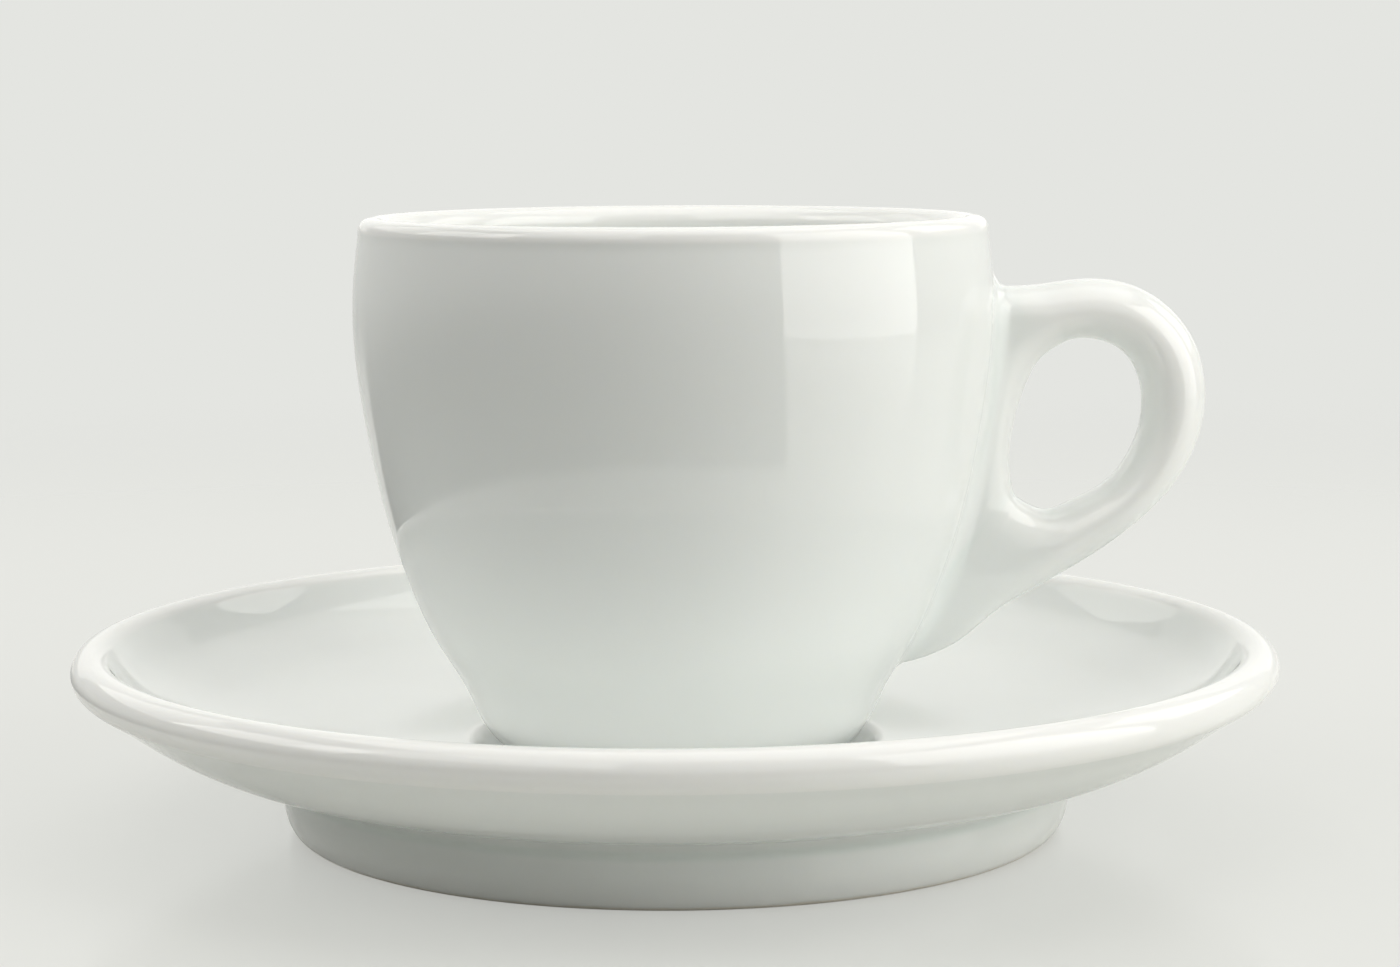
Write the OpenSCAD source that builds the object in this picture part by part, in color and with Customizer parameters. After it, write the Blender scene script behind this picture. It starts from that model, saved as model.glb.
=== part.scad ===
// Espresso cup with its saucer, in glazed porcelain.
// The origin is the centre of the saucer's foot ring, on the table.
// The cup stands in the saucer's well, and its handle points along +X.

/* [Saucer] */
// Diameter over the rolled rim
saucer_d = 120; // [105:1:150]
// Height of the top of the rolled rim above the table
saucer_h = 19; // [17:0.5:24]
// Thickness of the rolled rim
rim_roll_d = 4; // [3.4:0.1:5]
// Thickness of the dish between the foot and the rim
saucer_wall = 3.5; // [2.8:0.1:4.2]

/* [Saucer foot] */
// Outer diameter of the foot ring
foot_ring_d = 79; // [70:1:84]
// Width of the flat face that the foot ring rests on
foot_face_w = 2.4; // [1.5:0.1:3.5]
// Radius of the foot ring's outer edge
foot_edge_r = 2; // [1:0.1:3]
// Height at which the foot ring's outer side meets the dish
foot_ring_h = 6.6; // [5.5:0.1:8]
// Depth of the hollow inside the foot ring
foot_hollow_h = 3; // [2:0.1:3.8]

/* [Saucer well] */
// Thickness of the floor under the cup
well_floor_t = 3.2; // [2.5:0.1:4.5]
// Diameter of the well at its floor
well_d = 37; // [35:0.5:42]
// Depth of the well below the land round it
well_depth = 2.4; // [1.5:0.1:3]
// Width of the sloping side of the well
well_side_w = 1.6; // [1:0.1:2.5]
// Radius of the well's upper edge
well_edge_r = 1; // [0.5:0.1:1.5]

/* [Cup] */
// Height of the cup from its foot to its lip
cup_h = 54.8; // [48:0.2:64]
// Diameter of the belly, the widest place
belly_d = 63.6; // [58:0.2:70]
// Diameter just below the lip
mouth_d = 62.5; // [56:0.5:68]
// Thickness of the wall at the lip
lip_t = 3.6; // [2.6:0.1:4.4]
// Thickness of the side wall near the base
base_wall = 7; // [5:0.1:8]
// Height of the bowl's floor above the foot
bowl_floor_h = 8; // [6:0.1:9]

/* [Cup foot] */
// Outer diameter of the cup's foot ring
cup_foot_d = 31.4; // [29:0.2:34]
// Width of the flat face that the cup stands on
cup_foot_face_w = 2.2; // [1.4:0.1:3]
// Height of the foot ring's outer side
cup_foot_h = 1.1; // [0.8:0.1:1.6]
// Radius of the foot ring's outer edge
cup_foot_edge_r = 0.5; // [0.2:0.1:0.8]
// Depth of the hollow inside the foot ring
cup_hollow_h = 1.6; // [1:0.1:2.2]

/* [Handle] */
// Reach of the loop past the belly
handle_reach = 21.3; // [19:0.1:26]
// Height of the top of the loop above the cup's foot
handle_top_h = 48.3; // [44:0.2:52]
// Height of the toe, where the tail runs into the wall, above the cup's foot
handle_toe_h = 10.1; // [8:0.1:13]
// Thickness of the handle from side to side
handle_t = 9; // [7:0.1:11]
// Radius that rounds the outer edges of the handle
loop_edge_r = 3.4; // [2.5:0.1:3.6]
// Radius of the clay slip that joins the handle to the wall
slip_r = 2.4; // [1.5:0.1:3.2]
// Depth to which the roots are cut to the round of the wall
root_depth = 1.6; // [1.2:0.1:2]

/* [Finger hole] */
// Width of the finger hole
hole_w = 13.4; // [11.5:0.1:14]
// Height of the finger hole
hole_h = 17.1; // [15:0.1:18.5]
// Distance from the belly to the nearest edge of the hole
hole_gap = 1.6; // [1.4:0.1:3]
// Height of the bottom of the hole above the cup's foot
hole_foot_h = 25.3; // [24:0.1:27]
// Radius that rounds the edges of the hole
hole_edge_r = 3; // [2:0.1:3.2]

/* [Hidden] */

// Segments of a full turn, and of one stretch of a smooth curve
turn_n = 120;
stretch_n = 4;
arc_n = 8;

// Overrun of a cut past the face that it opens
overrun = 1;

porcelain = [0.93, 0.94, 0.92];

// Saucer: the radii and heights that its pieces share
rim_roll_r = rim_roll_d / 2;
roll_x = saucer_d / 2 - rim_roll_r;
roll_z = saucer_h - rim_roll_r;
foot_ring_r = foot_ring_d / 2;
foot_face_r = foot_ring_r - foot_edge_r;
well_z = foot_hollow_h + well_floor_t;
land_z = well_z + well_depth;
well_r = well_d / 2;
land_r = well_r + well_side_w + well_edge_r;

// Turns round the rim roll, from +X, at which the underside and the dish leave it
under_leaves = -60;
dish_leaves = 145;

// The underside between the foot ring and the roll, as shares of that run and of its rise
under_shares = [[0.077, 0.023], [0.205, 0.092], [0.385, 0.205], [0.564, 0.377], [0.744, 0.614], [0.897, 0.854]];

// The dish between the land and the first place that lies a wall above the underside
land_rise_shares = [[0.257, 0.065], [0.572, 0.326], [0.82, 0.652]];

// The hollow under the saucer, as shares of the foot face's inner radius and of the hollow's depth
hollow_shares = [[0.99, 0.55], [0.965, 0.9], [0.93, 1]];

// Cup: the side from the foot ring up to the mouth, as shares of the belly's radius and of the height
belly_r = belly_d / 2;
mouth_r = mouth_d / 2;
lip_r = lip_t / 2;
cup_foot_r = cup_foot_d / 2;
corner_shares = [[0.547, 0.0365], [0.602, 0.0693]];
side_shares = [[0.665, 0.1423], [0.7594, 0.2336], [0.8428, 0.3431], [0.9119, 0.4708], [0.9638, 0.6168],
    [0.9943, 0.7445], [1, 0.8613]];

// The bowl's floor: how far its side runs on, and how far its flat reaches, as shares
bowl_side_share = 0.72;
bowl_flat_share = 0.55;

// Handle: the loop's free rows, each with a hole point and a rim point, as shares of their boxes
loop_shares = [
    [[0.366, 0.958], [0.108, 0.982]],
    [[0.530, 1.000], [0.432, 1.000]],
    [[0.776, 0.959], [0.709, 0.969]],
    [[0.955, 0.801], [0.920, 0.861]],
    [[1.000, 0.585], [1.000, 0.715]],
    [[0.933, 0.374], [0.944, 0.547]],
    [[0.758, 0.170], [0.770, 0.406]],
    [[0.530, 0.064], [0.530, 0.296]],
    [[0.351, 0.000], [0.267, 0.209]],
    [[0.201, 0.008], [-0.024, 0.114]],
    [[0.090, 0.056], [-0.187, 0.043]]];

// The rows that end inside the wall: a hole point, and the height where the row ends
root_shares = [
    [[0.023, 0.146], -0.02],
    [[0.000, 0.299], 0.20],
    [[0.038, 0.515], 0.49],
    [[0.115, 0.708], 0.78],
    [[0.230, 0.882], 1.05]];

// The row where the top of the loop turns up into the wall
crook_shares = [[0.304, 0.924], [0.000, 1.008]];

// How far the slip runs past the toe and past the top, as shares of its radius
slip_toe_share = 0.35;
slip_top_share = 0.6;

// Rings between two rows of the handle, and points across half a ring
row_n = 3;
half_ring_n = 9;

// A place between b and c on the smooth curve that runs through a, b, c and d
function glide(a, b, c, d, t) =
    (2 * b + (c - a) * t + (2 * a - 5 * b + 4 * c - d) * t * t + (3 * b - a - 3 * c + d) * t * t * t) / 2;

// A smooth open curve through points, from the first to the last
function open_curve(points, n = stretch_n) =
    let (last = len(points) - 1)
    concat([for (i = [0 : last - 1])
        for (k = [0 : n - 1])
            let (before = i == 0 ? 2 * points[0] - points[1] : points[i - 1])
            let (after = i + 2 > last ? 2 * points[last] - points[last - 1] : points[i + 2])
            glide(before, points[i], points[i + 1], after, k / n)],
        [points[last]]);

// A smooth closed curve through points
function closed_curve(points, n) =
    let (count = len(points))
    [for (i = [0 : count - 1])
        for (k = [0 : n - 1])
            glide(points[(i + count - 1) % count], points[i], points[(i + 1) % count], points[(i + 2) % count], k / n)];

// A cubic curve from a to d that starts towards b and arrives from c
function bend(a, b, c, d, n = 2 * arc_n) =
    [for (k = [1 : n]) let (t = k / n, s = 1 - t) s * s * s * a + 3 * s * s * t * b + 3 * s * t * t * c + t * t * t * d];

// An arc round a centre, from one turn to another
function arc(centre, r, from, to, n = arc_n) =
    [for (k = [0 : n]) let (turn = from + (to - from) * k / n) centre + r * [cos(turn), sin(turn)]];

// A point at given shares of the way from one corner to another
function between(low, high, share) = [low[0] + (high[0] - low[0]) * share[0], low[1] + (high[1] - low[1]) * share[1]];

function reversed(points) = [for (i = [len(points) - 1 : -1 : 0]) points[i]];

// Saucer outline, in radius and height

foot_face_in_r = foot_face_r - foot_face_w;
under_start = [foot_ring_r, foot_ring_h];
roll_centre = [roll_x, roll_z];
under_end = roll_centre + rim_roll_r * [cos(under_leaves), sin(under_leaves)];
under_points = [for (share = under_shares) between(under_start, under_end, share)];
under_curve = open_curve(concat(under_points, [under_end]));

// The dish follows the underside at the wall's thickness, from the second place to the last but one
dish_over = [for (i = [1 : len(under_points) - 2]) under_points[i] + [0, saucer_wall]];
land_start = [land_r, land_z];
land_points = [for (share = land_rise_shares) between(land_start, dish_over[0], share)];
dish_end = roll_centre + rim_roll_r * [cos(dish_leaves), sin(dish_leaves)];
dish_curve = open_curve(concat([land_start], land_points, dish_over, [dish_end]));

hollow_points = [for (share = hollow_shares) [foot_face_in_r * share[0], foot_hollow_h * share[1]]];
well_side_top = [well_r + well_side_w, land_z - well_edge_r / 2];

saucer_outline = concat(
    [[0, foot_hollow_h]],
    reversed(open_curve(concat([[foot_face_in_r, 0]], hollow_points))),
    arc([foot_face_r, foot_edge_r], foot_edge_r, -90, 0),
    under_curve,
    arc(roll_centre, rim_roll_r, under_leaves, dish_leaves, 3 * arc_n),
    reversed(dish_curve),
    bend(land_start, [land_r - well_edge_r / 2, land_z], well_side_top + [well_edge_r, well_edge_r] / 4, well_side_top, arc_n),
    bend(well_side_top, well_side_top - [well_side_w, well_depth] / 2, [well_r + well_side_w / 4, well_z], [well_r, well_z], arc_n),
    [[0, well_z]]);

module saucer() {
    color(porcelain)
        rotate_extrude($fn = turn_n)
            polygon(saucer_outline);
}

// Cup outline, in radius and height above its own foot

corner_points = [for (share = corner_shares) [belly_r * share[0], cup_h * share[1]]];
side_points = [for (share = side_shares) [belly_r * share[0], cup_h * share[1]]];
side_top = [mouth_r, cup_h - lip_r];
cup_side = open_curve(concat([[cup_foot_r, cup_foot_h]], corner_points, side_points, [side_top]));

// Thickness of the side wall at a height, from the base up to the lip
function wall_at(z) = base_wall + (lip_t - base_wall) * z / (cup_h - lip_r);

bowl_points = concat([for (i = [1 : len(side_points) - 1]) side_points[i] - [wall_at(side_points[i][1]), 0]],
    [side_top - [lip_t, 0]]);
bowl_side = open_curve(bowl_points);
bowl_foot = bowl_side[0];
bowl_slope = (bowl_side[1] - bowl_foot) / (bowl_side[1][1] - bowl_foot[1]);
bowl_drop = bowl_foot[1] - bowl_floor_h;
bowl_floor = bend(bowl_foot, bowl_foot - bowl_slope * bowl_drop * bowl_side_share,
    [bowl_foot[0] * bowl_flat_share, bowl_floor_h], [0, bowl_floor_h]);

cup_foot_outline = concat(
    [[cup_foot_r - cup_foot_edge_r - cup_foot_face_w, 0]],
    arc([cup_foot_r - cup_foot_edge_r, cup_foot_edge_r], cup_foot_edge_r, -90, 0));

cup_hollow_r = cup_foot_r - cup_foot_edge_r - cup_foot_face_w - cup_hollow_h / 2;

cup_outline = concat(
    [[0, cup_hollow_h], [cup_hollow_r, cup_hollow_h]],
    cup_foot_outline,
    cup_side,
    arc([mouth_r - lip_r, cup_h - lip_r], lip_r, 0, 180, 2 * arc_n),
    reversed(bowl_side),
    bowl_floor);

module cup_body() {
    color(porcelain)
        translate([0, 0, well_z])
            rotate_extrude($fn = turn_n)
                polygon(cup_outline);
}

// The cup's outer form without its bowl, to which the handle's roots are cut
module cup_blank() {
    rotate_extrude($fn = turn_n)
        polygon(concat([[0, 0]], cup_foot_outline, cup_side, [[mouth_r, cup_h + overrun], [0, cup_h + overrun]]));
}

// Handle rows, in distance from the cup's axis and height above its foot

side_table = [for (p = cup_side) [p[1], p[0]]];

// Radius of the cup's outer side at a height
function side_r(z) = lookup(z, side_table);

hole_low = [belly_r + hole_gap, hole_foot_h];
hole_high = hole_low + [hole_w, hole_h];
rim_low = [belly_r, handle_toe_h];
rim_high = [belly_r + handle_reach, handle_top_h];

// A row holds its hole point, its rim point and the radius that rounds its rim
function free_row(shares) =
    concat(between(hole_low, hole_high, shares[0]), between(rim_low, rim_high, shares[1]), [loop_edge_r]);
function root_row(shares) =
    let (end_z = handle_toe_h + (handle_top_h - handle_toe_h) * shares[1])
    concat(between(hole_low, hole_high, shares[0]), [side_r(end_z) - root_depth, end_z, 0]);

handle_rows = concat(
    [for (shares = loop_shares) free_row(shares)],
    [for (shares = root_shares) root_row(shares)],
    [free_row(crook_shares)]);

// Heights at which the slip dies into the wall, below the toe and above the top of the loop
slip_low = handle_toe_h - slip_r * slip_toe_share;
slip_high = handle_top_h + slip_r * slip_top_share;

// How much of the full thickness is left at a distance inside a rounded edge
function rounding(inside, r) = r <= 0 || inside >= r ? 1 : sqrt(max(0, 1 - pow(1 - inside / r, 2)));

// How much the slip adds to each side at a distance from the wall
function slip(clear) = slip_r - sqrt(max(0, slip_r * slip_r - pow(slip_r - clear, 2)));

// How much of the thickness is left at a height, where the root's ends are rounded off
function root_ends(z) =
    let (end_r = loop_edge_r + slip_r)
    rounding(max(0, z - slip_low), end_r) * rounding(max(0, slip_high - z), end_r);

// Half the handle's thickness at a place on a row
function half_t(row, share) =
    let (from = [row[0], row[1]], to = [row[2], row[3]])
    let (run = norm(to - from), place = from + (to - from) * share)
    let (hole_r = min(hole_edge_r, run / 2), rim_r = min(row[4], run / 2))
    let (plain = handle_t / 2 * rounding(run * share, hole_r))
    let (clear = max(0, min(slip_r, norm([place[0], plain]) - side_r(place[1]))))
    let (ends = 1 + (root_ends(place[1]) - 1) * (1 - clear / slip_r))
    (plain + slip(clear)) * rounding(run * (1 - share), rim_r) * ends;

// One ring of the handle: the hole point, the near side, the rim point and the far side
function ring(row) =
    let (from = [row[0], row[1]], to = [row[2], row[3]])
    let (shares = [for (k = [1 : half_ring_n]) (1 - cos(180 * k / (half_ring_n + 1))) / 2])
    let (places = [for (share = shares) from + (to - from) * share])
    let (halves = [for (share = shares) half_t(row, share)])
    concat(
        [[from[0], 0, from[1]]],
        [for (k = [0 : half_ring_n - 1]) [places[k][0], -halves[k], places[k][1]]],
        [[to[0], 0, to[1]]],
        [for (k = [half_ring_n - 1 : -1 : 0]) [places[k][0], halves[k], places[k][1]]]);

// Joins rings of equal length into one closed loop
module ring_loop(rings) {
    count = len(rings);
    size = len(rings[0]);
    corners = [for (points = rings) for (p = points) p];
    faces = [for (i = [0 : count - 1])
        for (k = [0 : size - 1])
            let (a = i * size + k, b = i * size + (k + 1) % size)
            let (c = (i + 1) % count * size + (k + 1) % size, d = (i + 1) % count * size + k)
            for (face = [[a, b, c], [a, c, d]]) face];
    polyhedron(corners, faces, convexity = 6);
}

module cup_handle() {
    color(porcelain)
        translate([0, 0, well_z])
            difference() {
                ring_loop([for (row = closed_curve(handle_rows, row_n)) ring(row)]);
                cup_blank();
            }
}

saucer();
cup_body();
cup_handle();
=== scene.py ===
"""A glazed porcelain espresso cup in its saucer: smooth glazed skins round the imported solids."""

import logging
import math
from collections.abc import Sequence
from dataclasses import dataclass, field
from enum import Enum

import bmesh
import bpy
import numpy as np
from mathutils import Matrix, Vector


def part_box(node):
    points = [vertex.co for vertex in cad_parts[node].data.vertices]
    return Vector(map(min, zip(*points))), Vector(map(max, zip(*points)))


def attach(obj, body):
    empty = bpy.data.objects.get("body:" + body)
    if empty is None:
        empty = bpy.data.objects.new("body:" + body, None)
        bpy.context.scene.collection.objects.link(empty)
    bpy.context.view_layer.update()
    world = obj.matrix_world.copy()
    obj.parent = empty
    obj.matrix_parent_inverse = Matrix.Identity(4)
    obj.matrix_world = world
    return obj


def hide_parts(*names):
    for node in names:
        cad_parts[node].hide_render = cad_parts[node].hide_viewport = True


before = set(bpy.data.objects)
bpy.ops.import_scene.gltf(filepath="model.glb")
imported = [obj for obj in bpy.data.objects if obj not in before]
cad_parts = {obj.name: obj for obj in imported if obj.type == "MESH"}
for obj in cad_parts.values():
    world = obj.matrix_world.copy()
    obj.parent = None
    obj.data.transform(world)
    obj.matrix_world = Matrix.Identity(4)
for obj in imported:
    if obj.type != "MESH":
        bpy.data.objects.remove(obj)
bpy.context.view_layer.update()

log = logging.getLogger("espresso_cup")

MM = 0.001
PHOTO_WIDTH_PX = 1400
EAR_BELOW_LIP = 6.5
SAUCER_WIPED_INSIDE = 0.4
CUP_WIPED_INSIDE = 0.3
CLOSEST = 0.001
TINY = 1e-9

Point = tuple[float, float]
Span = tuple[float, float]
Colour = tuple[float, float, float]


def colour_from_screen(red: int, green: int, blue: int) -> Colour:
    """Turns a colour as a screen shows it into the linear colour that a shader reads.

    Args:
        red: The red level, 0 to 255.
        green: The green level, 0 to 255.
        blue: The blue level, 0 to 255.

    Returns:
        The linear colour.
    """

    def linear(level: int) -> float:
        """One linear channel."""
        share = level / 255
        return share / 12.92 if share <= 0.04045 else ((share + 0.055) / 1.055) ** 2.4

    return linear(red), linear(green), linear(blue)


class SmoothLine:
    """A line through stations whose bend never jumps: a cubic spline over its chords' lengths."""

    def __init__(
        self,
        stations: Sequence[Sequence[float]],
        closed: bool = False,
        end_way: Point | None = None,
    ) -> None:
        """Solves the spline.

        Args:
            stations: The places that it runs through, each with as many numbers as the others.
            closed: Whether the line runs on from the last station to the first.
            end_way: The direction in which an open line arrives, of length 1.
        """
        places = np.array(stations, float)
        if closed:
            places = np.vstack([places, places[:1]])
        chords = np.linalg.norm(np.diff(places, axis=0), axis=1)
        self.places = places
        self.reach = np.concatenate([[0], np.cumsum(chords)])
        self.bends = self._solve(places, chords, closed, end_way)

    @staticmethod
    def _solve(
        places: np.ndarray, chords: np.ndarray, closed: bool, end_way: Point | None
    ) -> np.ndarray:
        """Finds the second derivative at each station.

        Args:
            places: The stations, the first repeated at the end of a closed line.
            chords: The length from each station to the next.
            closed: Whether the line is closed.
            end_way: The direction in which it arrives, if that is given.

        Returns:
            The second derivatives, one row per station.
        """
        count = len(places)
        matrix = np.zeros((count, count))
        wanted = np.zeros_like(places)
        slopes = np.diff(places, axis=0) / chords[:, None]
        for i in range(1, count - 1):
            matrix[i, i - 1 : i + 2] = [chords[i - 1], 2 * (chords[i - 1] + chords[i]), chords[i]]
            wanted[i] = 6 * (slopes[i] - slopes[i - 1])
        if closed:
            matrix[0, [0, 1, -2]] = [2 * (chords[-1] + chords[0]), chords[0], chords[-1]]
            wanted[0] = 6 * (slopes[0] - slopes[-1])
            matrix[-1, [0, -1]] = [1, -1]
        else:
            matrix[0, 0] = matrix[-1, -1] = 1
            if end_way is not None:
                matrix[-1, -2:] = [chords[-1], 2 * chords[-1]]
                wanted[-1] = 6 * (np.array(end_way) - slopes[-1])
        return np.linalg.solve(matrix, wanted)

    def at(self, reach: np.ndarray) -> np.ndarray:
        """Places on the line.

        Args:
            reach: How far along the chords each place lies.

        Returns:
            One row per place.
        """
        i = np.clip(np.searchsorted(self.reach, reach, side="right") - 1, 0, len(self.reach) - 2)
        chord = self.reach[i + 1] - self.reach[i]
        late = ((reach - self.reach[i]) / chord)[:, None]
        early = 1 - late
        bend = (early**3 - early) * self.bends[i] + (late**3 - late) * self.bends[i + 1]
        return early * self.places[i] + late * self.places[i + 1] + bend * (chord**2)[:, None] / 6

    def spaced(self, count: int) -> np.ndarray:
        """Evenly spread places from the first station to the last, both included.

        Args:
            count: How many places.

        Returns:
            One row per place.
        """
        return self.at(np.linspace(0, self.reach[-1], count))


def arc(centre: Point, radius: float, start: float, end: float, count: int) -> np.ndarray:
    """Places on an arc.

    Args:
        centre: The arc's centre.
        radius: The arc's radius.
        start: The turn at which it starts, in degrees.
        end: The turn at which it ends, in degrees.
        count: How many places, the two ends included.

    Returns:
        One row per place.
    """
    turns = np.radians(np.linspace(start, end, count))
    return np.array(centre) + radius * np.column_stack([np.cos(turns), np.sin(turns)])


def between(low: Point, high: Point, shares: Sequence[Point]) -> list[Point]:
    """Places given as shares of the way from one corner to another.

    Args:
        low: The corner at shares of 0.
        high: The corner at shares of 1.
        shares: A share of the width and a share of the height for each place.

    Returns:
        The places.
    """
    return [(low[0] + (high[0] - low[0]) * a, low[1] + (high[1] - low[1]) * b) for a, b in shares]


class Value:
    """A number that changes over a surface. Sums on it add Math nodes to its material."""

    def __init__(self, finish: "NodeSheet", socket: bpy.types.NodeSocket) -> None:
        """Wraps a socket."""
        self.finish = finish
        self.socket = socket

    def _sum(self, operation: str, first: "Value | float", second: "Value | float") -> "Value":
        """Adds one Math node.

        Args:
            operation: The node's operation.
            first: Its first number.
            second: Its second number.

        Returns:
            The node's result.
        """
        node = self.finish.node("ShaderNodeMath", {"operation": operation}, {0: first, 1: second})
        return Value(self.finish, node.outputs[0])

    def __add__(self, other: "Value | float") -> "Value":
        """The sum."""
        return self._sum("ADD", self, other)

    def __radd__(self, other: float) -> "Value":
        """The sum, with a plain number first."""
        return self._sum("ADD", other, self)

    def __sub__(self, other: "Value | float") -> "Value":
        """The difference."""
        return self._sum("SUBTRACT", self, other)

    def __rsub__(self, other: float) -> "Value":
        """The difference, with a plain number first."""
        return self._sum("SUBTRACT", other, self)

    def __mul__(self, other: "Value | float") -> "Value":
        """The product."""
        return self._sum("MULTIPLY", self, other)

    def __rmul__(self, other: float) -> "Value":
        """The product, with a plain number first."""
        return self._sum("MULTIPLY", other, self)

    def step(self, start: float, end: float) -> "Value":
        """A soft step from 0 at start to 1 at end, kept between them outside.

        Args:
            start: The number at which the step starts.
            end: The number at which it ends.

        Returns:
            The step.
        """
        settings = {"interpolation_type": "SMOOTHSTEP"}
        sockets = {"Value": self, "From Min": start, "From Max": end}
        node = self.finish.node("ShaderNodeMapRange", settings, sockets)
        return Value(self.finish, node.outputs["Result"])


class NodeSheet:
    """The nodes of one material or of the world."""

    def __init__(self, tree: bpy.types.NodeTree) -> None:
        """Empties a node tree."""
        self.tree = tree
        tree.nodes.clear()

    def node(
        self, kind: str, settings: dict | None = None, sockets: dict | None = None
    ) -> bpy.types.Node:
        """Adds one node.

        Args:
            kind: The node's type.
            settings: Its settings, which are set first.
            sockets: Its inputs by name or number, each a Value, a node's socket or a plain value.

        Returns:
            The node.
        """
        node = self.tree.nodes.new(kind)
        for name, value in (settings or {}).items():
            setattr(node, name, value)
        for name, value in (sockets or {}).items():
            source = value.socket if isinstance(value, Value) else value
            if isinstance(source, bpy.types.NodeSocket):
                self.tree.links.new(source, node.inputs[name])
            else:
                node.inputs[name].default_value = source
        return node

    def noise(self, place: bpy.types.NodeSocket, scale: float, detail: float = 2) -> Value:
        """Soft noise from 0 to 1.

        Args:
            place: The coordinates that it reads, in metres.
            scale: How many waves it has in a metre.
            detail: How many finer layers it has.

        Returns:
            The noise.
        """
        sockets = {"Vector": place, "Scale": scale, "Detail": detail}
        return Value(self, self.node("ShaderNodeTexNoise", {}, sockets).outputs["Fac"])

    def tint(
        self,
        share: Value,
        plain: Colour | bpy.types.NodeSocket,
        full: Colour | bpy.types.NodeSocket,
    ) -> bpy.types.NodeSocket:
        """Mixes two colours.

        Args:
            share: How much of the second colour shows.
            plain: The first colour, or a socket that gives it.
            full: The second colour, or a socket that gives it.

        Returns:
            The mixed colour.
        """

        def as_colour(value: Colour | bpy.types.NodeSocket) -> Colour | bpy.types.NodeSocket:
            """A socket as it is, or a colour with its alpha."""
            return value if isinstance(value, bpy.types.NodeSocket) else (*value, 1)

        sockets = {"Factor": share, "A": as_colour(plain), "B": as_colour(full)}
        return self.node("ShaderNodeMix", {"data_type": "RGBA"}, sockets).outputs["Result"]


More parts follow.
